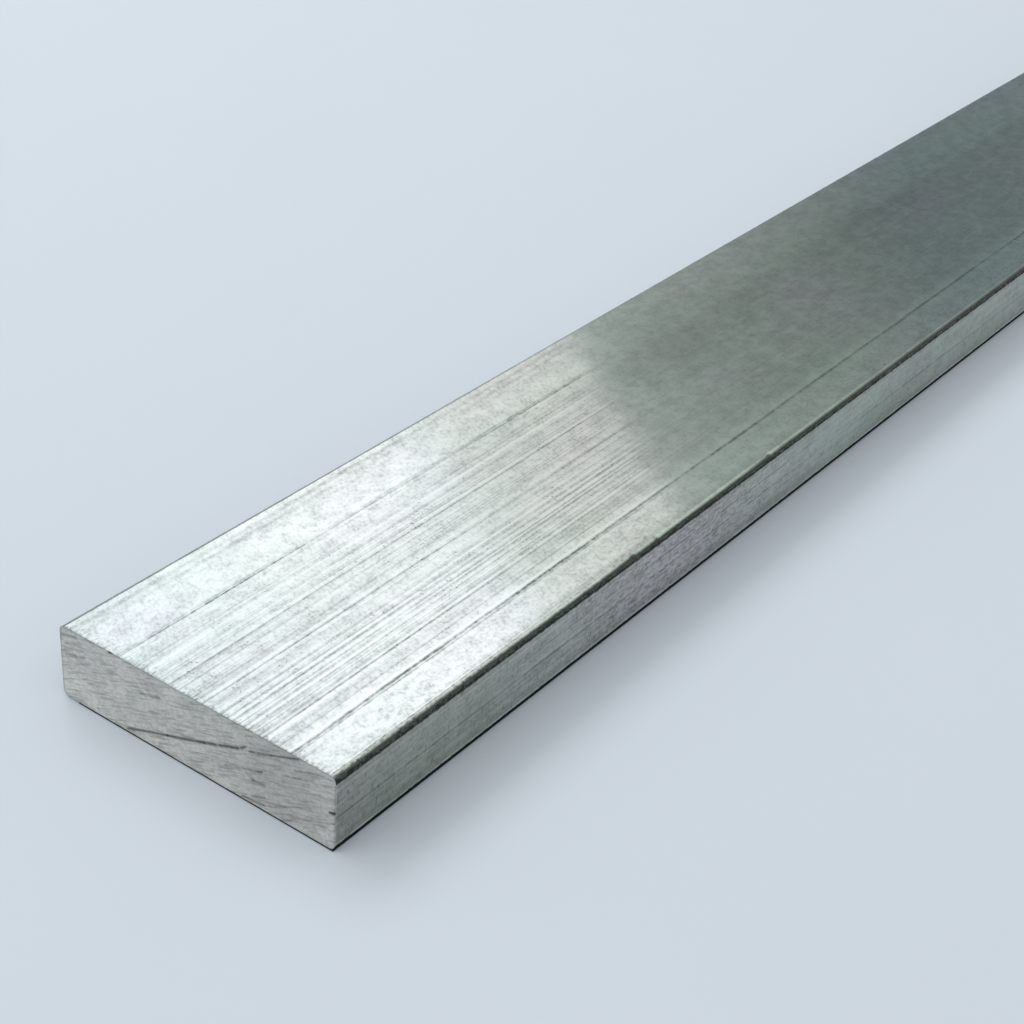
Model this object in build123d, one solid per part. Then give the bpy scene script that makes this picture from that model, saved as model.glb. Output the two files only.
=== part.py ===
from build123d import *
import os

# A cut length of extruded aluminium flat bar, lying on one wide face. Sizes are in millimetres.
# +X runs across the width, +Y along the length and +Z up.
# The origin is the middle of the face that the bar lies on.

# Driving dimensions
LENGTH = 500.0  # between the two sawn ends
WIDTH = 50.0  # of the wide faces, from edge to edge
THICKNESS = 12.0  # between the wide faces
CORNER_RADIUS = 1.0  # of the four long corners, as the die leaves them


def die_outline():
    """The section that the extrusion die leaves: a flat rectangle with four small round corners."""
    return RectangleRounded(
        WIDTH, THICKNESS, CORNER_RADIUS, align=(Align.CENTER, Align.MIN)
    )


def flat_bar():
    """The section drawn straight along Y and sawn square to the same length on both sides."""
    return extrude(Plane.XZ * die_outline(), amount=LENGTH / 2, both=True)


def main():
    os.makedirs("parts", exist_ok=True)
    export_step(flat_bar(), "parts/flat_bar.step")


main()
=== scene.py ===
import math
from types import SimpleNamespace

import bpy
import numpy as np
from mathutils import Matrix, Vector


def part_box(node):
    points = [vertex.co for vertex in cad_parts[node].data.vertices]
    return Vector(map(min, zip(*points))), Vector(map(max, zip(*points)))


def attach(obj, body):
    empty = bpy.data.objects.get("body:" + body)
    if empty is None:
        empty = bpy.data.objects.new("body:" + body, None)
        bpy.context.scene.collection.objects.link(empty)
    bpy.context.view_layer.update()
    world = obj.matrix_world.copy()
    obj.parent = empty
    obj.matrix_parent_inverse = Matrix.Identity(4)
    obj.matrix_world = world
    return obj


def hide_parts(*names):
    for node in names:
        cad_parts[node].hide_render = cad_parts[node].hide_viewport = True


# A cut length of mill-finish aluminium flat bar, as one closed mesh with its die lines, saw marks and
# nicks as relief. It lies in the frame of the CAD model: X across the width, Y along the length, Z up.
# Blender's own units are metres. The bar is worked out in millimetres, from its near left bottom corner.

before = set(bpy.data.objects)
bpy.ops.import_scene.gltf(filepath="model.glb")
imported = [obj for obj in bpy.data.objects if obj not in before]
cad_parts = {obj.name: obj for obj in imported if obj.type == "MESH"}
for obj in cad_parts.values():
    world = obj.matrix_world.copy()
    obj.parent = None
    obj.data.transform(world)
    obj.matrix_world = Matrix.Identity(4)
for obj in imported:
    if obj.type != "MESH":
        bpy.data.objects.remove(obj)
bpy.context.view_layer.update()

MM = 0.001
NODE = "flat_bar"
CAD_LOW, CAD_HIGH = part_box(NODE)
WIDTH, LENGTH, THICKNESS = (CAD_HIGH - CAD_LOW) / MM
CORNER_RADIUS = 1.0
CORNER_STEPS = 8
# The four long faces, and the round corners between them.
KINDS = ("upper", "lower", "right", "left", "corner")
# What the mesh tells its materials at each point, about 0 to 1: black oxide with black, matt painted
# shade, grooves darkened partly as painted shade, ridges lighter as painted highlights, fine rubbed
# lines, how much the bright window's reflection shows these marks, dulled metal with painted light and
# shade, green to purple tinge, and scratches and scuffs, with the painted shade under the ends' rolled
# edges.
TONES = ("stain", "groove", "ridge", "rub", "fresh", "dull", "tinge", "score")

# ---------------------------------------------------------------- studio and camera values

# The camera stands here, in millimetres. It looks along this azimuth (from +Y towards +X), down by this
# angle, and turned by this roll.
CAMERA_PLACE = (148.68, -396.46, 172.37)
CAMERA_AZIMUTH = -34.375
CAMERA_DOWN = 32.02
CAMERA_ROLL = 4.31
SENSOR_WIDTH = 36.0
FOCAL_LENGTH = 69.55
# How near and how far it sees, in metres.
CAMERA_SEES = (0.01, 50.0)

# Everything else in the studio is in metres too. The floor lies this far under the bar.
FLOOR_SIZE = 24.0
FLOOR_GAP = 0.0002
# A dark sheet that paints the contact shadow where the bar meets the floor: how far it reaches past the
# ends, and stays short of the right and left sides.
CONTACT_PAST = 0.00006
CONTACT_SHORT = (0.00020, 0.003)
CONTACT_COLOUR = (0.03, 0.033, 0.036)
# The floor is mottled between two colours, with cells of this many millimetres.
FLOOR_COLOURS = ((0.575, 0.635, 0.697), (0.585, 0.645, 0.702))
FLOOR_CELL = (60.0, 60.0, 60.0)
MATT_ROUGHNESS = 0.9
MATT_GLOSS = 0.1

# Soft lamps: azimuth, elevation, distance, size, power. They light the floor and the black oxide with its
# painted shade, and the cards and the world light the metal.
KEY_LAMP = (-86.0, 48.0, 1.3, (1.0, 0.50), 5.7)
FRONT_LAMP = (-150.0, 40.0, 1.3, (0.7, 0.50), 2.0)
# The light that comes from all round.
HORIZON = (0.43, 0.465, 0.49)
ZENITH = (0.95, 0.94, 0.93)

# Light cards. They face the bar's near part, from this azimuth, elevation and distance, turned by a roll.
# Each spans from..to across and from..to upwards. Its shades have their places from its lower edge, 0, to
# its upper one, 1.
CARDS_FACE = (0.0, -0.15, 0.012)
WALL_CARD = dict(
    azimuth=-38.0, elevation=35.0, distance=1.56, roll=55.0, across=(-1.3, 1.3), upwards=(-1.1, 1.1),
    shades=(
        (0.0, (0.190, 0.237, 0.245)),
        (0.16, (0.178, 0.223, 0.231)),
        (0.24, (0.175, 0.219, 0.225)),
        (0.275, (0.212, 0.260, 0.247)),
        (0.33, (0.274, 0.324, 0.303)),
        (0.36, (0.315, 0.371, 0.350)),
        (0.385, (0.386, 0.458, 0.427)),
        (0.42, (0.31, 0.35, 0.34)),
        (1.0, (0.30, 0.34, 0.33)),
    ),
)
WINDOW_CARD = dict(
    azimuth=-38.0, elevation=35.0, distance=1.5, roll=55.0, across=(-0.25, 0.21), upwards=(-0.221, 0.76),
    shades=(
        (0.0, (0.67, 0.70, 0.675)),
        (0.053, (0.755, 0.80, 0.765)),
        (0.114, (0.81, 0.855, 0.83)),
        (0.150, (0.87, 0.92, 0.92)),
        (0.180, (0.99, 1.07, 1.10)),
        (0.216, (1.12, 1.18, 1.21)),
        (0.272, (1.17, 1.23, 1.26)),
        (0.343, (1.15, 1.22, 1.26)),
        (0.415, (1.10, 1.19, 1.24)),
        (0.495, (1.04, 1.15, 1.21)),
        (1.0, (1.04, 1.15, 1.21)),
    ),
)
RIM_CARD = dict(
    azimuth=-38.0, elevation=35.0, distance=1.53, roll=55.0, across=(0.30, 1.25), upwards=(-0.75, 0.60),
    shades=(
        (0.0, (0.26, 0.30, 0.30)),
        (0.16, (0.32, 0.36, 0.35)),
        (0.26, (0.47, 0.52, 0.49)),
        (0.35, (0.70, 0.75, 0.72)),
        (0.42, (0.76, 0.81, 0.79)),
        (0.55, (0.78, 0.83, 0.82)),
        (1.0, (0.78, 0.83, 0.83)),
    ),
)
DARK_CARD = dict(
    azimuth=38.0, elevation=24.0, distance=1.4, roll=0.0, across=(-0.85, 0.85), upwards=(-0.75, 0.75),
    shades=(
        (0.0, (0.04, 0.05, 0.045)),
        (0.57, (0.12, 0.135, 0.125)),
        (0.70, (0.26, 0.28, 0.27)),
        (0.85, (0.50, 0.54, 0.53)),
        (1.0, (0.62, 0.66, 0.66)),
    ),
)
LOW_CARD = dict(
    azimuth=-20.0, elevation=5.0, distance=2.6, roll=0.0, across=(-3.0, 3.0), upwards=(-0.8, 0.8),
    shades=((0.0, (0.10, 0.12, 0.12)), (1.0, (0.15, 0.19, 0.20))),
)

# The map for baking: the strip's share of its height, and the gap between its parts.
BAKE_STRIP = 0.80
BAKE_GAP = 0.006
# Edges that bend by more degrees than this are shaded as sharp.
SHARP_ANGLE = 40

# ---------------------------------------------------------------- values of the relief and the tones

# Seeds of the random marks. Each line of a face has one of its own: its face's seed plus its number, and
# these more for the strength of a line, for the ridges and for the narrow faces' dullness.
UPPER_SEED = 100
LOWER_SEED = 300
RIGHT_SEED = 500
LEFT_SEED = 700
STRENGTH_SEEDS = 50
RIDGE_SEEDS = 120
DULL_SEEDS = 7
NEAR_SAW_SEED = 31
FAR_SAW_SEED = 57

# Grooves that the die left in the wide faces, darkened partly by residue and partly as painted shade:
# place from the left edge, half width, depth, darkness.
WIDE_GROOVES = (
    (2.4, 0.45, 0.002, 0.36),
    (3.8, 0.40, 0.002, 0.28),
    (5.2, 0.30, 0.001, 0.12),
    (11.15, 0.26, 0.008, 0.50),
    (11.55, 0.14, 0.007, 0.92),
    (12.4, 0.11, 0.004, 0.30),
    (18.0, 0.12, 0.003, 0.22),
    (19.6, 0.18, 0.003, 0.20),
    (20.85, 0.13, 0.007, 0.74),
    (22.6, 0.11, 0.004, 0.30),
    (25.15, 0.10, 0.005, 0.52),
    (27.0, 0.12, 0.008, 0.80),
    (28.4, 0.10, 0.003, 0.22),
    (30.2, 0.10, 0.005, 0.45),
    (31.45, 0.10, 0.006, 0.54),
    (32.35, 0.10, 0.006, 0.60),
    (33.45, 0.09, 0.004, 0.42),
    (34.2, 0.09, 0.006, 0.56),
    (35.15, 0.10, 0.006, 0.52),
    (36.9, 0.10, 0.006, 0.56),
    (37.75, 0.11, 0.008, 0.64),
    (39.2, 0.12, 0.003, 0.22),
    (40.4, 0.10, 0.004, 0.60),
    (42.5, 0.22, 0.018, 1.08),
    (43.0, 0.12, 0.006, 0.62),
    (44.3, 0.25, 0.002, 0.14),
    (48.5, 0.26, 0.006, 0.25),
)
# Burnished ridges between them, lighter as painted highlights: place from the left edge, half width,
# brightness.
WIDE_RIDGES = (
    (1.7, 0.20, 0.3),
    (16.4, 0.18, 1.3),
    (17.25, 0.15, 0.6),
    (18.6, 0.20, 0.4),
    (20.3, 0.19, 0.7),
    (22.0, 0.20, 0.3),
    (23.3, 0.18, 0.4),
    (26.45, 0.18, 0.5),
    (27.5, 0.16, 0.5),
    (28.9, 0.24, 0.4),
    (29.7, 0.18, 0.7),
    (30.75, 0.19, 0.7),
    (31.9, 0.16, 0.9),
    (33.0, 0.19, 0.9),
    (33.8, 0.13, 0.6),
    (34.7, 0.18, 0.9),
    (35.85, 0.19, 0.5),
    (37.35, 0.13, 0.8),
    (38.25, 0.18, 0.8),
    (41.95, 0.18, 2.8),
    (43.5, 0.14, 0.4),
)
# The same for the narrow faces, by height.
NARROW_GROOVES = (
    (1.8, 0.25, 0.003, 0.20),
    (3.6, 0.09, 0.003, 0.20),
    (5.45, 0.13, 0.007, 0.95),
    (6.7, 0.08, 0.003, 0.25),
    (8.1, 0.10, 0.005, 0.50),
    (9.3, 0.08, 0.003, 0.30),
    (10.3, 0.08, 0.003, 0.45),
)
NARROW_RIDGES = (
    (3.1, 0.20, 0.3),
    (6.1, 0.16, 0.3),
    (7.4, 0.18, 0.3),
    (9.8, 0.18, 0.4),
)
# Each line wavers by this share of its half width, and its strength swells about a mean, within limits.
LINE_WAVER = 0.35
LINE_STRENGTH = 0.8
LINE_SWELL = 0.3
LINE_LIMITS = (0.1, 1.4)
# The die lines' painted shade and highlights, the speckle and the pits show fully where the bright
# window's reflection lies: from the near end up to this far along at the left edge, and less far by the
# slant for each millimetre across. There they fade, over a few times the soft length, to what is left of
# them beyond, where the rubbed band is painted darker as the shade of the dark reflection. Those of the
# narrow faces keep at least the last value.
GLARE_TO = 118.0
GLARE_SLANT = 0.75
GLARE_SOFT = 3.0
GLARE_BEYOND = 0.15
NARROW_GLARE = 0.6
# Past there, grooves deeper than this stay dark, by this much for each millimetre more.
DEEP = 0.008
DEEP_KEEPS = 105.0
# The rubbed band between the smoother outer strips has many more fine lines, and soft sides.
RUBBED_BAND = (12.5, 41.5)
RUBBED_SOFT = 2.0
# Tinge is 0 for green, 1 for purple and this between them. The right corners are greener.
NEUTRAL_TINGE = 0.5
CORNER_TINGE = 0.33
# Oxide tints of the wide faces: place across and along, half sizes, and tint, -1 for green, 1 for purple.
OXIDE_TINTS = (
    (25.0, 167.0, 9.0, 8.0, 0.85),
    (2.5, 160.0, 5.0, 50.0, 0.3),
    (47.5, 132.0, 4.0, 28.0, 0.25),
    (23.0, 222.0, 5.0, 8.0, 0.4),
    (29.0, 150.0, 5.0, 7.0, 0.3),
    (29.0, 208.0, 6.0, 7.0, -0.35),
    (9.0, 245.0, 4.0, 30.0, -0.3),
    (2.0, 245.0, 4.0, 40.0, 0.35),
    (16.0, 108.0, 8.0, 10.0, -0.25),
    (37.0, 117.0, 8.0, 12.0, -0.25),
    (14.0, 140.0, 6.0, 8.0, -0.25),
    (6.0, 124.0, 5.0, 10.0, 0.3),
    (45.0, 205.0, 6.0, 38.0, -0.35),
    (14.0, 60.0, 5.0, 14.0, -0.2),
    (46.0, 14.0, 5.0, 14.0, -0.2),
    (47.0, 74.0, 4.0, 14.0, 0.25),
    (2.5, 48.0, 4.0, 16.0, -0.25),
)
# Duller patches of the wide faces: place across and along, half sizes, dullness.
DULL_PATCHES = (
    (17.0, 127.0, 7.0, 12.0, 0.18),
    (9.0, 129.0, 4.0, 11.0, 0.13),
    (14.0, 205.0, 8.0, 75.0, 0.125),
    (11.0, 148.0, 4.0, 11.0, 0.08),
    (14.0, 76.0, 5.0, 9.0, 0.05),
    (48.0, 74.0, 2.0, 22.0, 0.06),
    (48.9, 70.0, 0.8, 34.0, 0.20),
    (2.5, 58.0, 3.5, 16.0, 0.10),
    (27.0, 199.0, 8.0, 12.0, 0.06),
    (13.0, 209.0, 3.0, 10.0, 0.08),
    (28.0, 236.0, 8.0, 12.0, 0.06),
)
# Scuffs in the wide faces' right outer strips: the band across, its soft ends, and how strong.
STRIP_SCUFFED = (43.2, 49.2)
STRIP_SOFT = 0.8
STRIP_SCUFFS = 0.30
# The wide faces' edges are frayed at the sawn ends: how much, and within how far.
FRAYED = 0.2
FRAYED_WITHIN = 0.6

# The narrow faces are duller than the wide ones. Their dullness wavers, and grows towards the sawn ends,
# and towards the corners as painted shade, within these lengths.
NARROW_DULL = 0.33
DULL_WAVER = 0.05
DULL_ENDS = 0.14
DULL_ENDS_WITHIN = 25.0
NARROW_CORNER_SHADE = 0.12
NARROW_CORNER_SHADE_WITHIN = 0.9
# It is less in one stretch: place up and along, half sizes, how much less.
NARROW_BRIGHTER = (5.6, 106.0, 3.2, 52.0, 0.18)
# Scuffs roughen one stretch of them: place along, half length.
NARROW_SCUFFED = (80.0, 30.0)
# They are this green, and purplish in patches: place along, half length, how purple.
NARROW_GREEN = 0.3
PURPLE_PATCHES = ((0.0, 16.0, 0.3), (78.0, 29.0, 0.7), (262.0, 38.0, 0.4), (395.0, 24.0, 0.3))
# How strong these tints are on the right face and on the left one.
RIGHT_TINTED = 1.0
LEFT_TINTED = 0.35

# Black, matt painted shade round the right upper corner, in place of the dark reflection there, by
# degrees turned from the wide face (0) to the narrow (90).
# It gains strength from where it begins, and fades before it ends. Each of these values runs from the
# first number to the second, over the third's length from the near end.
SHADE_BEGINS = (8.0, 44.0, 100.0)
SHADE_GAINS = (24.0, 9.0, 100.0)
SHADE_ENDS = (114.0, 109.16, 220.0)
SHADE_FADES = (24.0, 14.0, 150.0)
SHADE_AMOUNT = (1.0, 0.95, 150.0)
# How far it reaches down the narrow face, in millimetres.
SIDE_SHADE_FADES = (0.10, 0.18, 120.0)
# A line of it at the edge of the wide face: how strong, over how many degrees, and how far along.
EDGE_SHADE = 0.3
EDGE_SHADE_TURN = 8.0
EDGE_SHADE_TO = 110.0
# The share of all this that the left upper corner has, and over how many degrees the lower corners'
# painted contact shade fades.
LEFT_SHADE = 0.15
LOWER_SHADE_FADES = 24.0

# The marks of the saw blade rise by this much for each millimetre across, and bend.
SAW_SLOPE = 0.36
SAW_BEND = 0.0016
# Its coarse and fine marks: how deep, and how much and over what length they wobble.
SAW_COARSE = 0.015
COARSE_WOBBLE = (0.25, 3.1)
SAW_FINE = 0.006
FINE_WOBBLE = (0.12, 1.7)

# Scratches on the near sawn end: from and to (place across, height), half width, depth.
END_SCRATCHES = (
    ((12.7, 0.5), (20.3, 3.2), 0.19, 0.038),
    ((20.3, 3.2), (27.2, 5.6), 0.19, 0.042),
    ((27.2, 5.6), (33.2, 7.9), 0.19, 0.042),
    ((33.2, 7.9), (34.7, 8.9), 0.17, 0.036),
    ((35.3, 8.5), (39.0, 9.8), 0.15, 0.032),
    ((39.0, 9.8), (43.7, 11.7), 0.15, 0.036),
    ((15.3, 7.7), (18.8, 8.7), 0.14, 0.024),
    ((31.0, 4.0), (37.5, 6.2), 0.13, 0.020),
    ((36.2, 5.7), (37.5, 6.2), 0.14, 0.020),
    ((34.7, 4.6), (35.9, 4.0), 0.24, 0.016),
    ((35.9, 4.0), (37.8, 4.2), 0.28, 0.022),
    ((39.7, 1.7), (46.0, 5.0), 0.14, 0.016),
    ((42.5, 1.3), (50.0, 4.5), 0.13, 0.016),
    ((35.6, 1.2), (37.9, 2.1), 0.18, 0.024),
    ((34.0, 0.3), (37.8, 0.8), 0.18, 0.030),
    ((41.0, 0.1), (42.6, 0.9), 0.16, 0.022),
    ((41.0, 7.6), (46.2, 9.5), 0.13, 0.018),
    ((43.0, 9.5), (47.2, 11.0), 0.14, 0.018),
    ((49.1, 5.9), (50.0, 6.2), 0.20, 0.070),
    ((0.2, 10.4), (3.3, 11.2), 0.16, 0.022),
    ((0.9, 9.2), (4.2, 10.3), 0.18, 0.017),
    ((0.9, 8.4), (4.4, 9.3), 0.16, 0.017),
    ((0.9, 7.3), (4.8, 8.5), 0.17, 0.020),
    ((2.8, 6.5), (5.7, 7.8), 0.16, 0.015),
    ((9.7, 11.85), (10.2, 12.0), 0.22, 0.060),
)
# A scratch this deep is as dark as one gets.
DARKEST_SCRATCH = 0.044
# The sawn ends are dull, darker in a patch (place across, half width) as painted shade, and lighter at
# their lower edge as painted light.
END_DULL = 0.17
END_PATCH_SHADE = 0.20
END_PATCH = 41.0
END_PATCH_HALF = 8.0
END_LOWER_BRIGHT = 0.30
END_LOWER_HEIGHT = 2.5
# The painted shade of the thin line where the saw rolled their edges over: how dark, how wide.
ROLLED_DARK = 0.35
ROLLED_WIDTH = 0.22
# Nicks in the right upper edge: place along, half length, depth.
EDGE_NICKS = (
    (68.0, 1.1, 0.16),
    (74.5, 0.5, 0.08),
    (108.0, 0.8, 0.13),
)
# They are deepest this far inside the edge, both ways, and this wide.
NICK_INSIDE = 0.3
NICK_REACH = 0.55

# Places along the bar where the mesh has a ring of points: near each end, and evenly between.
END_STATIONS = (0.5, 1.2, 2.2, 3.5, 5.5, 8.0)
FIRST_STATION = 13.0
LAST_STATION = LENGTH - 12.0
STATION_STEP = 9.0
# And round each nick, which clears the even ones within this distance.
NICK_STATIONS = (-1.2, -0.7, -0.3, 0.0, 0.3, 0.7, 1.2)
NICK_CLEARS = 2.0
# Steps of the mesh across the wide and narrow faces, and its places across each groove and ridge, in
# half widths.
WIDE_STEP = 0.32
NARROW_STEP = 0.22
GROOVE_PLACES = (-1.5, -0.7, 0, 0.7, 1.5)
RIDGE_PLACES = (-1, 0, 1)
# How far those places stay from the corners, from each other and from the plain steps.
CORNER_CLEAR = 0.04
LINE_CLEAR = 0.06
PLAIN_CLEAR = 0.12


# ---------------------------------------------------------------- marks on the surface


def random_waves(at, seed, shortest, longest, count):
    """A smooth random height, about -1 to 1, as a sum of waves between these two lengths."""
    dice = np.random.default_rng(seed)
    lengths = np.exp(dice.uniform(math.log(shortest), math.log(longest), count))
    phases = dice.uniform(0, 2 * math.pi, count)
    waves = [np.sin(2 * math.pi * at / wave + phase) for wave, phase in zip(lengths, phases)]
    return sum(waves) / math.sqrt(count)


def line_shares(at, along, lines, seed):
    """How much of each groove or ridge there is at places across and along; it wavers, comes and goes."""
    for line_seed, (centre, half, *amounts) in enumerate(lines, start=seed):
        waver = LINE_WAVER * half * random_waves(along, line_seed, shortest=18, longest=90, count=4)
        swell = random_waves(along, line_seed + STRENGTH_SEEDS, shortest=25, longest=160, count=4)
        strength = (LINE_STRENGTH + LINE_SWELL * swell).clip(*LINE_LIMITS)
        yield strength * np.exp(-(((at - centre - waver) / half) ** 2)), amounts


def die_lines(at, along, grooves, ridges, fresh, seed):
    """Depth, darkness (partly painted shade) and burnish (painted highlight) of the die lines at places
    across and along, shown this much by the window's reflection there.
    """
    depth = np.zeros(np.broadcast(at, along).shape)
    dark, bright = np.zeros_like(depth), np.zeros_like(depth)
    for share, (deep, darkness) in line_shares(at, along, grooves, seed):
        depth = depth + deep * share
        dark = np.maximum(dark, darkness * share * np.maximum(fresh, DEEP_KEEPS * (deep - DEEP)))
    for share, (burnish,) in line_shares(at, along, ridges, seed + RIDGE_SEEDS):
        bright = np.maximum(bright, (burnish * share * fresh).clip(0, 1))
    return depth, dark, bright


def within(at, band, soft):
    """1 inside the band and 0 outside it, with soft ends."""
    low, high = band
    return ((at - low) / soft).clip(0, 1) * ((high - at) / soft).clip(0, 1)


def eased(along, values):
    """A value that runs from the first to the second over a length along, the third, and is then held."""
    first, second, length = values
    return first + (second - first) * (along / length).clip(0, 1)


def patches(across, along, spots):
    """The sum of soft round patches, each with its place, half sizes and amount."""
    rounds = [
        amount * np.exp(-(((across - x) / half_x) ** 2) - ((along - y) / half_y) ** 2)
        for x, y, half_x, half_y, amount in spots
    ]
    return sum(rounds)


def window_glare_share(across, along):
    """1 where the bright window's reflection lies and shows the die lines' painted shade and highlights
    and the pits, and the share left beyond past the slanting line where it ends.
    """
    past = along - GLARE_TO + GLARE_SLANT * across
    return GLARE_BEYOND + (1 - GLARE_BEYOND) / (1 + np.exp(past / GLARE_SOFT))


def corner_shade(x, z, along):
    """Black, matt painted shade round the corners, for the dark reflection above and the contact shade
    below: little on the left upper one, and a narrower band further on.
    """
    inwards = CORNER_RADIUS - np.minimum(x, WIDTH - x)
    upwards = CORNER_RADIUS - np.minimum(z, THICKNESS - z)
    turned = np.degrees(np.arctan2(inwards, upwards))
    gained = 1 - np.exp(-(turned - eased(along, SHADE_BEGINS)).clip(0, 90) / eased(along, SHADE_GAINS))
    kept = ((eased(along, SHADE_ENDS) - turned) / eased(along, SHADE_FADES)).clip(0, 1)
    edge = EDGE_SHADE * np.exp(-((turned / EDGE_SHADE_TURN) ** 2))
    edge = edge * (1 - (along / EDGE_SHADE_TO) ** 2).clip(0, 1)
    upper = gained * kept * eased(along, SHADE_AMOUNT) + edge
    # The lower corners' part is painted contact shade.
    lower = ((90 - turned) / LOWER_SHADE_FADES).clip(0, 1)
    return np.where(z < THICKNESS / 2, lower, np.where(x < WIDTH / 2, LEFT_SHADE, 1.0) * upper)


def side_shade(x, height, along):
    """Black, matt painted shade that reaches from the upper corners down the narrow faces."""
    corner = THICKNESS - CORNER_RADIUS
    return corner_shade(x, corner, along) * np.exp((height - corner) / eased(along, SIDE_SHADE_FADES))


def frayed_edges(along):
    """Where the wide faces' edges are frayed, at the sawn ends."""
    from_end = np.minimum(along, LENGTH - along)
    return FRAYED * np.exp(-from_end / FRAYED_WITHIN)


def narrow_dull(height, along, seed):
    """How dull a narrow face is at places up and along it, with painted shade towards its corners."""
    waver = random_waves(along, seed, shortest=30, longest=160, count=5)
    from_end = np.minimum(along, LENGTH - along)
    from_corner = np.minimum(height, THICKNESS - height) - CORNER_RADIUS
    dull = NARROW_DULL + DULL_WAVER * waver + DULL_ENDS * np.exp(-from_end / DULL_ENDS_WITHIN)
    dull = dull + NARROW_CORNER_SHADE * np.exp(-from_corner / NARROW_CORNER_SHADE_WITHIN)
    return (dull - patches(height, along, [NARROW_BRIGHTER])).clip(0, 1)


def wide_face(place, far, seed):
    """Depth of the relief of a wide face, and its tones, at places across and along."""
    fresh = window_glare_share(place, far)
    depth, dark, bright = die_lines(place, far, WIDE_GROOVES, WIDE_RIDGES, fresh, seed)
    return depth, {
        "stain": frayed_edges(far),
        "groove": dark,
        "ridge": bright,
        "rub": within(place, RUBBED_BAND, RUBBED_SOFT),
        "fresh": fresh,
        "dull": patches(place, far, DULL_PATCHES),
        "tinge": NEUTRAL_TINGE * (1 + patches(place, far, OXIDE_TINTS)),
        "score": STRIP_SCUFFS * within(place, STRIP_SCUFFED, STRIP_SOFT),
    }


def narrow_face(x, height, far, tinted, seed):
    """Depth of the relief of a narrow face, tinted this much, and its tones, at places up and along."""
    fresh = np.maximum(window_glare_share(0, far), NARROW_GLARE)
    depth, dark, bright = die_lines(height, far, NARROW_GROOVES, NARROW_RIDGES, fresh, seed)
    purple = sum(much * np.exp(-(((far - place) / half) ** 2)) for place, half, much in PURPLE_PATCHES)
    scuffed, half_length = NARROW_SCUFFED
    return depth, {
        "stain": side_shade(x, height, far),
        "groove": dark,
        "ridge": bright,
        "rub": 1.0,
        "fresh": fresh,
        "dull": narrow_dull(height, far, seed + DULL_SEEDS),
        "tinge": NEUTRAL_TINGE + tinted * (purple - NARROW_GREEN),
        "score": np.exp(-(((far - scuffed) / half_length) ** 2)),
    }


def nick_depth(x, y, z):
    """How far the nicks press in the right upper edge, at these points."""
    nick = sum(deep * np.exp(-(((y - place) / half) ** 2)) for place, half, deep in EDGE_NICKS)
    from_edge = np.hypot(x - WIDTH + NICK_INSIDE, z - THICKNESS + NICK_INSIDE)
    return nick * np.exp(-((from_edge / NICK_REACH) ** 2))


def scratch(across, height, start, end, half, deep):
    """Depth of one straight scratch on an end face, thinner towards its ends."""
    (x0, z0), (x1, z1) = start, end
    length = math.hypot(x1 - x0, z1 - z0)
    run = ((across - x0) * (x1 - x0) + (height - z0) * (z1 - z0)) / length
    off = ((height - z0) * (x1 - x0) - (across - x0) * (z1 - z0)) / length
    beyond = np.maximum(0, np.maximum(-run, run - length))
    return deep * np.exp(-((off / half) ** 2) - (beyond / half) ** 2)


def wobble(across, values):
    """How far a saw mark strays from its line at places across."""
    much, length = values
    return much * np.sin(across / length)


def saw_marks(across, height, seed):
    """Depth of the marks of the saw blade, which rise to the right in slightly bent lines."""
    bent = height - SAW_SLOPE * across + SAW_BEND * across**2
    coarse_at, fine_at = (bent + wobble(across, values) for values in (COARSE_WOBBLE, FINE_WOBBLE))
    coarse = random_waves(coarse_at, seed, shortest=0.9, longest=5.0, count=14)
    fine = random_waves(fine_at, seed + 1, shortest=0.5, longest=1.1, count=18)
    patchy = 0.6 + 0.4 * random_waves(across + 2 * height, seed + 2, shortest=3, longest=14, count=5)
    fine_depth = SAW_FINE * patchy.clip(0.1, 1.4) * (fine + 2).clip(0, 4)
    return SAW_COARSE * (coarse + 2.2).clip(0, 5) + fine_depth


def near_end(across, height):
    """Depth and score (how dark its scratches are) of the end that the photograph shows."""
    scratches = sum(scratch(across, height, *mark) for mark in END_SCRATCHES)
    return saw_marks(across, height, NEAR_SAW_SEED) + scratches, (scratches / DARKEST_SCRATCH).clip(0, 1)


def far_end(across, height):
    """Depth and score of the other end, cut by the same saw."""
    return saw_marks(WIDTH - across, height, FAR_SAW_SEED), np.zeros_like(across)


def end_dull_light_and_shade(across, height):
    """How dull a sawn end is, with painted shade in one broad patch on the right and painted light along
    its lower edge.
    """
    patch = END_PATCH_SHADE * np.exp(-(((across - END_PATCH) / END_PATCH_HALF) ** 2))
    return (END_DULL + patch - END_LOWER_BRIGHT * np.exp(-height / END_LOWER_HEIGHT)).clip(0, 1)


def rolled_edge_shade(across, height):
    """The painted shade of the thin line where the saw has rolled the end's upper and upright edges over.
    """
    inside = np.minimum(np.minimum(across, WIDTH - across), THICKNESS - height)
    return ROLLED_DARK * np.exp(-((inside / ROLLED_WIDTH) ** 2))


# ---------------------------------------------------------------- mesh


def with_lines(start, end, step, grooves, ridges):
    """Even places from start to end, with closer ones across each groove and ridge."""
    plain = np.linspace(start, end, round((end - start) / step) + 1)
    close = [centre + half * place for centre, half, *_ in grooves for place in GROOVE_PLACES]
    close += [centre + half * place for centre, half, _ in ridges for place in RIDGE_PLACES]
    close = np.sort([place for place in close if start + CORNER_CLEAR < place < end - CORNER_CLEAR])
    close = close[np.diff(close, prepend=start - 1) > LINE_CLEAR]
    clear = np.abs(plain[:, None] - close).min(1) > PLAIN_CLEAR
    clear[[0, -1]] = True
    return np.unique(np.concatenate([plain[clear], close]))


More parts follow.
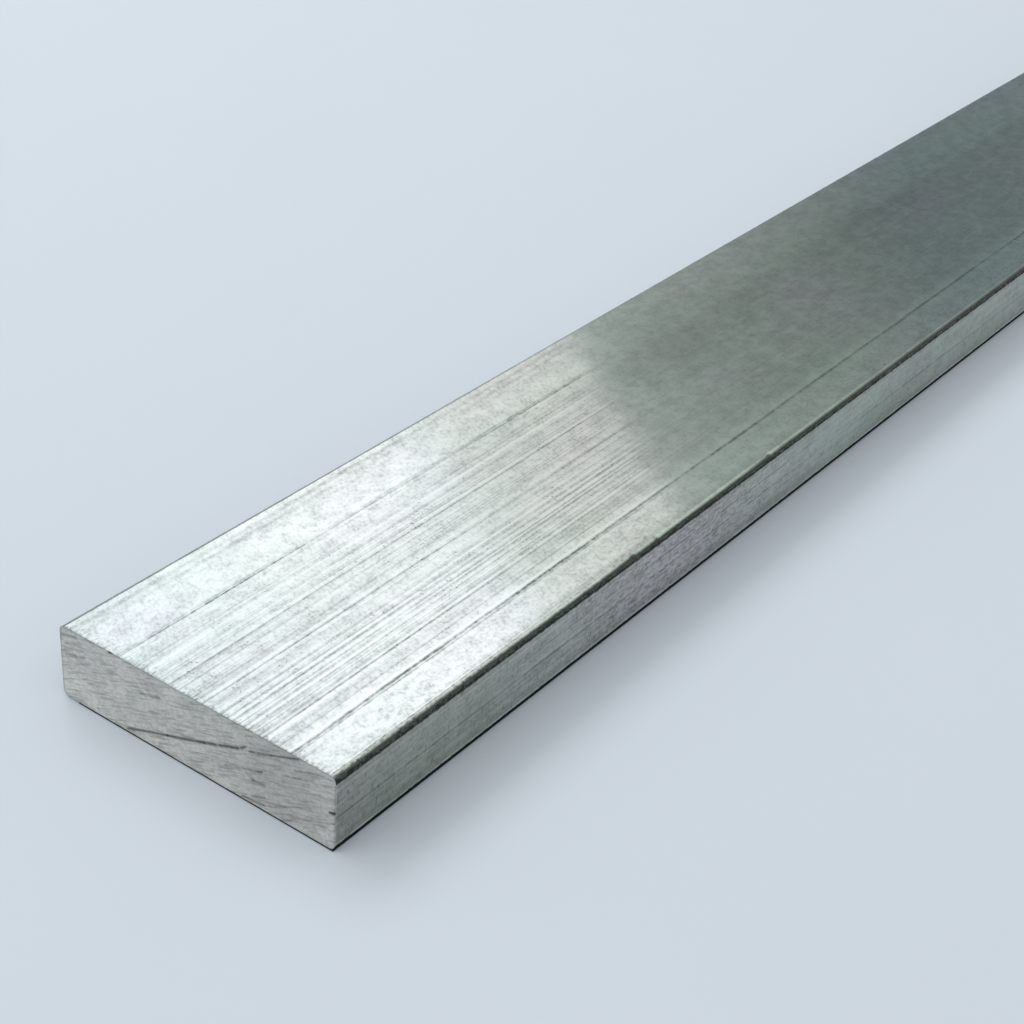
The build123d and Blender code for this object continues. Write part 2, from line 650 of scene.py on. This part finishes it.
def across_places():
    """Places across the bar, in the steps of the round corners first and then close at each die line."""
    turn = np.linspace(0, math.pi / 2, CORNER_STEPS + 1)
    corner = CORNER_RADIUS * (1 - np.cos(turn))
    flat = with_lines(CORNER_RADIUS, WIDTH - CORNER_RADIUS, WIDE_STEP, WIDE_GROOVES, WIDE_RIDGES)
    return np.concatenate([corner[:-1], flat, WIDTH - corner[-2::-1]])


def height_shares():
    """Places up a narrow face, from 0 at the lower corner to 1 at the upper one."""
    start, end = CORNER_RADIUS, THICKNESS - CORNER_RADIUS
    heights = with_lines(start, end, NARROW_STEP, NARROW_GROOVES, NARROW_RIDGES)
    return (heights - start) / (THICKNESS - 2 * CORNER_RADIUS)


def along_places():
    """Places along the bar between its ends, closer near the ends and at the nicks."""
    plain = list(np.arange(FIRST_STATION, LAST_STATION, STATION_STEP))
    spots = [place for place, *_ in EDGE_NICKS]
    close = [spot + step for spot in spots for step in NICK_STATIONS]
    clear = [place for place in plain if min(abs(place - spot) for spot in spots) > NICK_CLEARS]
    far = [LENGTH - place for place in END_STATIONS]
    return np.unique([*END_STATIONS, *clear, *close, *far])


def corner_rise(across):
    """How far the round corner lifts the lower outline at each place across."""
    from_edge = np.minimum(across, WIDTH - across).clip(0, CORNER_RADIUS)
    return CORNER_RADIUS - np.sqrt(CORNER_RADIUS**2 - (CORNER_RADIUS - from_edge) ** 2)


def ring_of(columns, rows):
    """The (column, row) pairs round the edge of an end's grid, counter-clockwise from the lower left."""
    last_column, last_row = columns - 1, rows - 1
    lower = [(c, 0) for c in range(last_column)]
    right = [(last_column, r) for r in range(last_row)]
    upper = [(c, last_row) for c in range(last_column, 0, -1)]
    left = [(0, r) for r in range(last_row, 0, -1)]
    return np.array(lower + right + upper + left)


def face_kinds(x, z):
    """Which long face each point of the section lies on."""
    on_flat = (x > CORNER_RADIUS) & (x < WIDTH - CORNER_RADIUS)
    upright = (z > CORNER_RADIUS) & (z < THICKNESS - CORNER_RADIUS)
    side = np.where(x < WIDTH / 2, "left", "right")
    wide = np.where(z > THICKNESS / 2, "upper", "lower")
    return np.where(on_flat, wide, np.where(upright, side, "corner"))


def sleeve_points(x, z, kind, along):
    """The long faces' points at these places along, pressed in by their relief, and the points' tones."""
    shape = (len(along), len(x))
    x, z = np.broadcast_to(x, shape).copy(), np.broadcast_to(z, shape).copy()
    y = np.broadcast_to(along[:, None], shape)
    tones = {name: np.zeros(shape) for name in TONES}
    upper, lower, right, left, corner = (kind == name for name in KINDS)
    # The corners carry black, matt painted shade.
    tones["stain"][:, corner] = corner_shade(x, z, y)[:, corner]
    tones["tinge"][:, corner] = np.where(x < WIDTH / 2, NEUTRAL_TINGE, CORNER_TINGE)[:, corner]
    faces = (
        (upper, z, -1, wide_face(x[:, upper], y[:, upper], UPPER_SEED)),
        (lower, z, 1, wide_face(WIDTH - x[:, lower], y[:, lower], LOWER_SEED)),
        (right, x, -1, narrow_face(x[:, right], z[:, right], y[:, right], RIGHT_TINTED, RIGHT_SEED)),
        (left, x, 1, narrow_face(x[:, left], z[:, left], y[:, left], LEFT_TINTED, LEFT_SEED)),
    )
    for face, pressed, inwards, (depth, worn) in faces:
        pressed[:, face] += inwards * depth
        for name, values in worn.items():
            tones[name][:, face] = values
    nick = nick_depth(x, y, z)
    return np.stack([x - nick, y, z - nick], axis=-1), tones


def end_points(place, finish, grid_x, grid_z, ring, kind):
    """A sawn end's grid of points, whose edge lies on the long faces, and the points' tones."""
    edge = tuple(ring.T)
    depth, score = finish(grid_x, grid_z)
    grid_y = np.abs(place - depth)
    points = np.stack([grid_x, grid_y, grid_z], axis=-1)
    pressed, worn = sleeve_points(grid_x[edge], grid_z[edge], kind, np.array([place]))
    points[edge] = np.stack([pressed[0, :, 0], grid_y[edge], pressed[0, :, 2]], axis=-1)
    tones = {name: np.zeros(grid_x.shape) for name in TONES}
    for name, values in tones.items():
        values[edge] = worn[name][0]
    # The scratches, and the painted shade under the rolled edges.
    tones["score"] = np.maximum(score, rolled_edge_shade(grid_x, grid_z))
    # Dullness, with painted shade on the right and painted light at the lower edge.
    tones["dull"] = end_dull_light_and_shade(grid_x, grid_z)
    return points, tones


def bar_faces(grid, ring, stations):
    """The numbers of each face's points: the long faces, the near end, and the far end."""
    count, per_ring = math.prod(grid), len(ring)
    ids = np.arange(count).reshape(grid)
    ring_ids = ids[tuple(ring.T)]
    rings = 2 * count + np.arange(stations * per_ring).reshape(stations, per_ring)
    rings = np.vstack([ring_ids, rings, count + ring_ids])
    here, there = rings[:-1], rings[1:]
    long_faces = np.stack([there, np.roll(there, -1, 1), np.roll(here, -1, 1), here], axis=-1)
    near_faces = np.stack([ids[:-1, :-1], ids[1:, :-1], ids[1:, 1:], ids[:-1, 1:]], axis=-1)
    far_faces = count + near_faces[..., ::-1]
    return [faces.reshape(-1, 4) for faces in (long_faces, near_faces, far_faces)]


def bar_mesh():
    """The whole bar as one closed mesh: a grid for each end, and rings of points between them."""
    x, shares = across_places(), height_shares()
    rise = corner_rise(x)
    grid_x = np.broadcast_to(x[:, None], (len(x), len(shares)))
    grid_z = rise[:, None] + shares * (THICKNESS - 2 * rise[:, None])
    ring = ring_of(len(x), len(shares))
    edge = tuple(ring.T)
    ring_x, ring_z = grid_x[edge], grid_z[edge]
    kind = face_kinds(ring_x, ring_z)
    along = along_places()
    parts = (
        end_points(0.0, near_end, grid_x, grid_z, ring, kind),
        end_points(LENGTH, far_end, grid_x, grid_z, ring, kind),
        sleeve_points(ring_x, ring_z, kind, along),
    )
    points = np.vstack([placed.reshape(-1, 3) for placed, _ in parts])
    tones = {name: np.concatenate([worn[name].ravel() for _, worn in parts]) for name in TONES}
    return points, bar_faces(grid_x.shape, ring, len(along)), tones, along, ring_x, ring_z


def strip_map(along, ring_x, ring_z):
    """Places on the baking map for the long faces, unrolled round the section as one strip."""
    step = np.hypot(np.diff(ring_x, append=ring_x[0]), np.diff(ring_z, append=ring_z[0]))
    round_section = np.concatenate([[0], np.cumsum(step)])
    strip = BAKE_STRIP * round_section / round_section[-1]
    stations = BAKE_GAP + (1 - 2 * BAKE_GAP) * np.concatenate([[0], along, [LENGTH]]) / LENGTH
    near, low = np.meshgrid(stations[:-1], strip[:-1], indexing="ij")
    far, high = np.meshgrid(stations[1:], strip[1:], indexing="ij")
    corners = ((far, low), (far, high), (near, high), (near, low))
    return np.stack([np.stack(corner, axis=-1) for corner in corners], axis=-2).reshape(-1, 2)


def ends_map(points):
    """Places on the baking map for the corners of the near end's faces and then the far end's."""
    half = len(points) // 2
    shift = np.repeat([BAKE_GAP, 0.5 + BAKE_GAP], [half, len(points) - half])
    across = shift + (0.5 - 2 * BAKE_GAP) * points[:, 0] / WIDTH
    band = 1 - BAKE_STRIP - 3 * BAKE_GAP
    return np.stack([across, BAKE_STRIP + 2 * BAKE_GAP + band * points[:, 2] / THICKNESS], axis=-1)


def flat_bar_piece(materials):
    """The bar's mesh as a Blender object in the CAD frame, with its finishes and its map for baking."""
    points, faces, tones, along, ring_x, ring_z = bar_mesh()
    placed = points * MM + np.array(CAD_LOW)
    mesh = bpy.data.meshes.new("flat_bar_surface")
    mesh.from_pydata(placed.tolist(), [], np.vstack(faces).tolist())
    for material in materials:
        mesh.materials.append(material)
    is_end = np.arange(len(mesh.polygons)) >= len(faces[0])
    mesh.polygons.foreach_set("material_index", is_end.astype(np.int32))
    mesh.set_sharp_from_angle(angle=math.radians(SHARP_ANGLE))
    end_corners = points[np.vstack(faces[1:]).ravel()]
    baked = np.vstack([strip_map(along, ring_x, ring_z), ends_map(end_corners)])
    mesh.uv_layers.new(name="OFBake").data.foreach_set("uv", baked.astype(np.float32).ravel())
    for name, values in tones.items():
        mesh.attributes.new(name, "FLOAT", "POINT").data.foreach_set("value", values.astype(np.float32))
    mesh.update()
    piece = bpy.data.objects.new("flat_bar_surface", mesh)
    bpy.context.scene.collection.objects.link(piece)
    return piece


# ---------------------------------------------------------------- shader nodes


def add(tree, kind, inputs, **settings):
    """A new node; each input is a plain value or the socket that feeds it. Returns its first output."""
    node = tree.nodes.new(kind)
    for name, value in settings.items():
        setattr(node, name, value)
    for name, value in inputs.items():
        if isinstance(value, bpy.types.NodeSocket):
            tree.links.new(value, node.inputs[name])
        else:
            node.inputs[name].default_value = value
    return node.outputs[0]


def noise(tree, cell, detail=2.0, shift=0.0, turn=None):
    """Noise, 0 to 1, with cells of these sizes in millimetres along the bar's axes or turned ones."""
    where = tree.nodes.new("ShaderNodeTexCoord").outputs["Object"]
    turned = add(tree, "ShaderNodeMapping", {"Vector": where, "Rotation": turn}) if turn else where
    scale = [1 / (size * MM) for size in cell]
    placing = {"Vector": turned, "Scale": scale, "Location": [shift] * 3}
    mapped = add(tree, "ShaderNodeMapping", placing)
    return add(tree, "ShaderNodeTexNoise", {"Vector": mapped, "Scale": 1.0, "Detail": detail})


def ramp(tree, value, start, end, low=0.0, high=1.0):
    """The value taken from start..end to low..high, and held beyond."""
    inputs = {"Value": value, "From Min": start, "From Max": end, "To Min": low, "To Max": high}
    return add(tree, "ShaderNodeMapRange", inputs)


def times(tree, first, second):
    """Two values multiplied."""
    return add(tree, "ShaderNodeMath", {0: first, 1: second}, operation="MULTIPLY")


def plus(tree, total, *others):
    """The sum of several values."""
    for value in others:
        total = add(tree, "ShaderNodeMath", {0: total, 1: value}, operation="ADD")
    return total


def tint(tree, factor, first, second):
    """A colour between two others, each a plain colour or the socket that feeds it."""
    inputs = {"Fac": factor}
    for name, colour in (("Color1", first), ("Color2", second)):
        inputs[name] = (*colour, 1.0) if isinstance(colour, tuple) else colour
    return add(tree, "ShaderNodeMixRGB", inputs)


def attribute(tree, name):
    """A value that the mesh carries at its points."""
    node = tree.nodes.new("ShaderNodeAttribute")
    node.attribute_name = name
    return node.outputs["Fac"]


def metal(name):
    """A bare metal material: its node tree and its shader."""
    material = bpy.data.materials.new(name)
    material.use_nodes = True
    tree = material.node_tree
    shader = tree.nodes["Principled BSDF"]
    shader.inputs["Metallic"].default_value = 1.0
    return material, tree, shader


def wear(tree, shader, colour, roughness, height):
    """Joins colour, roughness and a height in millimetres to the shader."""
    tree.links.new(colour, shader.inputs["Base Color"])
    tree.links.new(roughness, shader.inputs["Roughness"])
    bump = add(tree, "ShaderNodeBump", {"Height": height, "Distance": MM, "Strength": 1.0})
    tree.links.new(bump, shader.inputs["Normal"])


# ---------------------------------------------------------------- materials

# The grain lies askew, and the scoring of the saw blade rises to the right.
GRAIN_TURN = (0.0, 0.0, math.radians(35))
SAW_RISE = (0.0, math.radians(19), 0.0)
MILL_NOISES = {
    "streaks": dict(cell=(0.24, 110.0, 0.24), detail=3.0),
    "broad": dict(cell=(2.2, 160.0, 2.2), shift=7.3),
    "grain": dict(cell=(0.84, 0.60, 0.60), detail=3.0, shift=2.1, turn=GRAIN_TURN),
    "mottle": dict(cell=(1.6, 2.2, 1.6), shift=8.8),
    "flecks": dict(cell=(0.40, 0.85, 0.40), shift=6.2),
    "pits": dict(cell=(0.32, 0.45, 0.32), shift=3.7),
    "dings": dict(cell=(0.90, 0.30, 1.4), detail=1.0, shift=5.5),
    "scuffs": dict(cell=(0.50, 1.10, 0.45), detail=3.0, shift=1.4),
    "blotches": dict(cell=(3.2, 5.0, 3.2), detail=3.0, shift=9.5),
    "clouds": dict(cell=(14.0, 26.0, 14.0), detail=3.0, shift=4.9),
}
SAWN_NOISES = {
    "scoring": dict(cell=(3.0, 3.0, 0.28), detail=3.0, turn=SAW_RISE),
    "grain": dict(cell=(0.60, 0.5, 0.40), shift=3.3),
    "clouds": dict(cell=(5.0, 5.0, 2.4), detail=3.0, shift=8.1),
}

# Metal under green and under purple oxide: where speckle and patches shade it, and where the rubbed band
# is painted darker as shade past the window's reflection; in the smooth outer strips; and in the rubbed
# band.
SHADED_METAL = ((0.455, 0.540, 0.455), (0.560, 0.480, 0.545))
STRIP_METAL = ((0.800, 0.940, 0.810), (0.990, 0.870, 0.960))
RUBBED_METAL = ((0.770, 0.895, 0.770), (0.955, 0.830, 0.930))
# Ridges, lighter as painted highlights, and scuffs.
BURNISH_AND_HIGHLIGHT_METAL = (0.90, 0.92, 0.89)
# Grooves, partly painted shade, and pits, dings and scuffs.
CUT_METAL = (0.20, 0.215, 0.20)
DULL_METAL = (0.155, 0.155, 0.10)
# Black oxide, and the black, matt painted shade round the corners.
BLACK_OXIDE_AND_SHADE = (0.030, 0.036, 0.032)
# Pits thin the black oxide and painted shade down to this share, which still hides the metal.
HIDES_METAL = 0.87
# Roughness of plain metal and of its ridges, and what marks of full strength add to it.
PLAIN_ROUGHNESS = 0.075
RIDGE_ROUGHNESS = 0.065
DRAWN_ROUGHNESS = 0.03
CUT_ROUGHNESS = 0.20
BLACK_ROUGHNESS = 0.25
DULL_ROUGHNESS = 0.25
# Heights of the mill finish's finest relief, in millimetres.
STREAK_HEIGHT = 0.010
BROAD_HEIGHT = 0.025
GRAIN_HEIGHT = 0.0015

# The sawn ends: metal between two tones, darker grain, scoring, dull patches with painted light and
# shade, and scratches with the painted shade under the rolled edges.
SAWN_METAL = ((0.80, 0.78, 0.74), (0.90, 0.875, 0.825))
SAWN_GRAIN = (0.28, 0.28, 0.27)
SAWN_SCORING = (0.25, 0.25, 0.24)
SAWN_DULL = (0.20, 0.20, 0.19)
SAWN_SCRATCH_AND_SHADE = (0.06, 0.065, 0.06)
# Their roughness, in the scoring and between it, and the heights of the scoring and the grain.
SAWN_ROUGHNESS = (0.66, 0.58)
SCORING_HEIGHT = 0.04
SAWN_GRAIN_HEIGHT = 0.05


def marks(tree, tones, noises):
    """The mesh's tones and some noises, as sockets by name."""
    carried = {name: attribute(tree, name) for name in tones}
    return SimpleNamespace(**carried, **{name: noise(tree, **values) for name, values in noises.items()})


def drawn_metal(tree, at, drawn):
    """The metal's colour, from green to purple, shaded by speckle, patches and drawn lines, and painted
    darker as shade past the window's reflection.
    """
    cloudy = plus(tree, at.tinge, ramp(tree, at.clouds, 0.4, 0.6, -0.10, 0.08))
    shade = tint(tree, cloudy, *SHADED_METAL)
    strips = tint(tree, cloudy, *STRIP_METAL)
    rubbed = tint(tree, cloudy, *RUBBED_METAL)
    speckle = ramp(tree, at.grain, 0.46, 0.66, 0.0, 0.41)
    speckle = times(tree, speckle, ramp(tree, at.dull, 0.0, 0.5, 1.0, 1.5))
    # Speckle shows most where the window's reflection lies.
    speckle = times(tree, speckle, ramp(tree, at.fresh, 0.0, 1.0, 0.4, 1.0))
    speckle = times(tree, speckle, ramp(tree, at.mottle, 0.36, 0.64, 0.65, 1.2))
    blotchy = ramp(tree, at.blotches, 0.35, 0.65, 0.0, 0.26)
    patchy = plus(tree, blotchy, ramp(tree, at.mottle, 0.38, 0.62, 0.0, 0.22))
    # Past the window's reflection the rubbed band is painted darker, as the shade of the dark reflection.
    beyond = times(tree, at.rub, ramp(tree, at.fresh, GLARE_BEYOND, 1.0, 0.23, 0.0))
    shaded = plus(tree, speckle, patchy, times(tree, drawn, 0.44), beyond)
    return tint(tree, shaded, tint(tree, at.rub, strips, rubbed), shade)


def cut_marks(tree, at):
    """How dark grooves (partly painted shade), pits, dings and scuffs make the metal; grooves and pits
    show most where the window's reflection lies.
    """
    blotchy = times(tree, at.fresh, ramp(tree, at.blotches, 0.45, 0.60))
    worn = times(tree, ramp(tree, at.rub, 0.0, 1.0, 0.35, 1.0), blotchy)
    pocks = ramp(tree, at.pits, 0.61, 0.70, 0.0, 0.8)
    pocked = plus(tree, pocks, ramp(tree, at.dings, 0.68, 0.73, 0.0, 0.6))
    pitted = times(tree, pocked, times(tree, worn, ramp(tree, at.dull, 0.2, 0.35, 1.0, 0.45)))
    dinged = times(tree, ramp(tree, at.dings, 0.66, 0.72, 0.0, 0.5), ramp(tree, at.dull, 0.2, 0.3))
    scuffed = times(tree, at.score, ramp(tree, at.scuffs, 0.54, 0.66, 0.0, 0.53))
    flecked = ramp(tree, at.flecks, 0.38, 0.62, 0.60, 1.20)
    broken = times(tree, flecked, ramp(tree, at.mottle, 0.40, 0.60, 0.80, 1.22))
    return plus(tree, times(tree, at.groove, broken), pitted, dinged, scuffed)


def black_oxide_and_shade(tree, at):
    """How black the oxide and the painted shade are, with an uneven edge and thinner where there are
    pits.
    """
    uneven = ramp(tree, at.flecks, 0.38, 0.62, 0.5, 1.8)
    stained = add(tree, "ShaderNodeMath", {0: at.stain, 1: uneven}, operation="POWER")
    return times(tree, stained, ramp(tree, at.pits, 0.40, 0.62, 1.0, HIDES_METAL))


def mill_finish():
    """The extruded faces: die lines with painted shade and highlights, a mottled grain, pits, tints of
    oxide, and black oxide with painted shade.
    """
    material, tree, shader = metal("mill_finish")
    at = marks(tree, TONES, MILL_NOISES)
    drawn = times(tree, ramp(tree, at.streaks, 0.42, 0.56, 1.0, 0.0), times(tree, at.rub, at.fresh))
    # Ridges and scuffs are lighter; on the ridges this is painted highlight.
    burnish_and_highlight = plus(tree, at.ridge, times(tree, at.score, ramp(tree, at.scuffs, 0.48, 0.36, 0.0, 0.98)))
    cut = cut_marks(tree, at)
    black = black_oxide_and_shade(tree, at)
    colour = tint(tree, burnish_and_highlight, drawn_metal(tree, at, drawn), BURNISH_AND_HIGHLIGHT_METAL)
    colour = tint(tree, cut, colour, CUT_METAL)
    colour = tint(tree, at.dull, colour, DULL_METAL)
    # Black oxide and painted shade, black and matt.
    colour = tint(tree, ramp(tree, black, 0.0, HIDES_METAL), colour, BLACK_OXIDE_AND_SHADE)
    tree.links.new(ramp(tree, black, 0.6, HIDES_METAL, 1.0, 0.0), shader.inputs["Metallic"])
    shader.inputs["Specular IOR Level"].default_value = 0.0
    roughness = plus(
        tree,
        ramp(tree, at.ridge, 0.0, 1.0, PLAIN_ROUGHNESS, RIDGE_ROUGHNESS),
        times(tree, drawn, DRAWN_ROUGHNESS),
        times(tree, cut, CUT_ROUGHNESS),
        times(tree, black, BLACK_ROUGHNESS),
        ramp(tree, at.dull, 0.22, 0.50, 0.0, DULL_ROUGHNESS),
    )
    height = plus(
        tree,
        times(tree, times(tree, at.streaks, at.rub), STREAK_HEIGHT),
        times(tree, at.broad, BROAD_HEIGHT),
        times(tree, at.grain, GRAIN_HEIGHT),
    )
    wear(tree, shader, colour, roughness, height)
    return material


def sawn_finish():
    """The sawn ends: dull and mottled, with the fine scoring of the blade, and painted light and shade.
    """
    material, tree, shader = metal("sawn_ends")
    at = marks(tree, ("score", "dull"), SAWN_NOISES)
    colour = tint(tree, ramp(tree, at.clouds, 0.35, 0.65), *SAWN_METAL)
    colour = tint(tree, ramp(tree, at.grain, 0.3, 0.6, 0.31, 0.0), colour, SAWN_GRAIN)
    colour = tint(tree, ramp(tree, at.scoring, 0.34, 0.5, 0.39, 0.0), colour, SAWN_SCORING)
    # Dullness, with painted shade on the right and painted light at the lower edge.
    colour = tint(tree, at.dull, colour, SAWN_DULL)
    # Scratches, and the painted shade under the rolled edges.
    colour = tint(tree, at.score, colour, SAWN_SCRATCH_AND_SHADE)
    roughness = ramp(tree, at.scoring, 0.3, 0.7, *SAWN_ROUGHNESS)
    height = plus(tree, times(tree, at.scoring, SCORING_HEIGHT), times(tree, at.grain, SAWN_GRAIN_HEIGHT))
    wear(tree, shader, colour, roughness, height)
    return material


# ---------------------------------------------------------------- studio


def direction(azimuth, elevation):
    """A unit vector: azimuth turns from +Y towards +X, elevation is above the floor, in degrees."""
    turn, rise = math.radians(azimuth), math.radians(elevation)
    return Vector((math.sin(turn) * math.cos(rise), math.cos(turn) * math.cos(rise), math.sin(rise)))


def sheet(name, low, high, height, material):
    """A rectangle of the set, level as it is made."""
    mesh = bpy.data.meshes.new(name)
    corners = [(x, y, height) for x, y in ((low[0], low[1]), (high[0], low[1]), high, (low[0], high[1]))]
    mesh.from_pydata(corners, [], [(0, 1, 2, 3)])
    mesh.materials.append(material)
    plane = bpy.data.objects.new(name, mesh)
    bpy.context.scene.collection.objects.link(plane)
    return plane


def matt(name):
    """A matt material: its node tree and its shader."""
    material = bpy.data.materials.new(name)
    material.use_nodes = True
    shader = material.node_tree.nodes["Principled BSDF"]
    shader.inputs["Roughness"].default_value = MATT_ROUGHNESS
    shader.inputs["Specular IOR Level"].default_value = MATT_GLOSS
    return material, material.node_tree, shader


def floor():
    """A plain pale floor, just under the bar."""
    material, tree, shader = matt("pale_floor")
    paper = noise(tree, FLOOR_CELL, detail=3.0)
    tree.links.new(tint(tree, paper, *FLOOR_COLOURS), shader.inputs["Base Color"])
    half = FLOOR_SIZE / 2
    sheet("floor", (-half, -half), (half, half), -FLOOR_GAP, material)


def contact_shade():
    """A dark sheet that paints the contact shadow where the bar meets the floor."""
    material, _, shader = matt("contact_shade")
    shader.inputs["Base Color"].default_value = (*CONTACT_COLOUR, 1.0)
    right, left = CONTACT_SHORT
    low = (CAD_LOW.x + left, CAD_LOW.y - CONTACT_PAST)
    high = (CAD_HIGH.x - right, CAD_HIGH.y + CONTACT_PAST)
    sheet("contact_shade", low, high, -FLOOR_GAP / 2, material)


def glow(name, shades):
    """A glowing material, shaded from a mesh's lower edge to its upper one."""
    material = bpy.data.materials.new(name)
    material.use_nodes = True
    tree = material.node_tree
    tree.nodes.clear()
    split = tree.nodes.new("ShaderNodeSeparateXYZ")
    tree.links.new(tree.nodes.new("ShaderNodeTexCoord").outputs["Generated"], split.inputs[0])
    scale = tree.nodes.new("ShaderNodeValToRGB")
    tree.links.new(split.outputs["Y"], scale.inputs[0])
    stops = scale.color_ramp.elements
    while len(stops) < len(shades):
        stops.new(0.5)
    for stop, (place, colour) in zip(stops, shades):
        stop.position = place
        stop.color = (*colour, 1.0)
    light = add(tree, "ShaderNodeEmission", {"Color": scale.outputs[0]})
    tree.links.new(light, tree.nodes.new("ShaderNodeOutputMaterial").inputs["Surface"])
    return material


def card(name, azimuth, elevation, distance, roll, across, upwards, shades):
    """A light card that only reflections see, shaded from its lower edge to its upper one."""
    low, high = zip(across, upwards)
    panel = sheet(name, low, high, 0, glow(name, shades))
    outwards = direction(azimuth, elevation)
    panel.location = Vector(CARDS_FACE) + outwards * distance
    turned = Matrix.Rotation(math.radians(roll), 4, "Z").to_quaternion()
    panel.rotation_euler = ((-outwards).to_track_quat("Z", "Y") @ turned).to_euler()
    panel.visible_camera = False
    panel.visible_diffuse = False
    panel.visible_transmission = False
    panel.visible_shadow = False


def lamp(name, azimuth, elevation, distance, size, power):
    """A soft lamp that faces the bar and isn't mirrored in it."""
    light = bpy.data.lights.new(name, "AREA")
    light.shape = "RECTANGLE"
    light.size, light.size_y = size
    light.energy = power
    holder = bpy.data.objects.new(name, light)
    outwards = direction(azimuth, elevation)
    holder.location = outwards * distance
    holder.rotation_euler = (-outwards).to_track_quat("-Z", "Y").to_euler()
    holder.visible_glossy = False
    holder.visible_camera = False
    bpy.context.scene.collection.objects.link(holder)


def soft_world():
    """Pale light from all round, brighter overhead."""
    world = bpy.data.worlds.new("soft_world")
    world.use_nodes = True
    tree = world.node_tree
    split = tree.nodes.new("ShaderNodeSeparateXYZ")
    tree.links.new(tree.nodes.new("ShaderNodeTexCoord").outputs["Generated"], split.inputs[0])
    shade = tint(tree, ramp(tree, split.outputs["Z"], 0.0, 1.0), HORIZON, ZENITH)
    tree.links.new(shade, tree.nodes["Background"].inputs["Color"])
    bpy.context.scene.world = world


def camera():
    """The photograph's viewpoint: a long lens, looking down along the bar from its near right."""
    lens = bpy.data.cameras.new("camera")
    lens.sensor_width = SENSOR_WIDTH
    lens.lens = FOCAL_LENGTH
    lens.clip_start, lens.clip_end = CAMERA_SEES
    eye = bpy.data.objects.new("camera", lens)
    ahead = direction(CAMERA_AZIMUTH, -CAMERA_DOWN)
    level = ahead.cross(Vector((0, 0, 1))).normalized()
    facing = Matrix((level, level.cross(ahead), -ahead)).transposed()
    roll = Matrix.Rotation(math.radians(CAMERA_ROLL), 3, "Z")
    eye.matrix_world = Matrix.Translation(Vector(CAMERA_PLACE) * MM) @ (facing @ roll).to_4x4()
    bpy.context.scene.collection.objects.link(eye)
    bpy.context.scene.camera = eye


bar = flat_bar_piece([mill_finish(), sawn_finish()])
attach(bar, "root")
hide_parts(NODE)

floor()
contact_shade()
card("wall_card", **WALL_CARD)
card("window_card", **WINDOW_CARD)
card("rim_card", **RIM_CARD)
card("dark_card", **DARK_CARD)
card("low_card", **LOW_CARD)
lamp("key", *KEY_LAMP)
lamp("front", *FRONT_LAMP)
soft_world()
camera()
bpy.context.scene.view_settings.view_transform = "Standard"
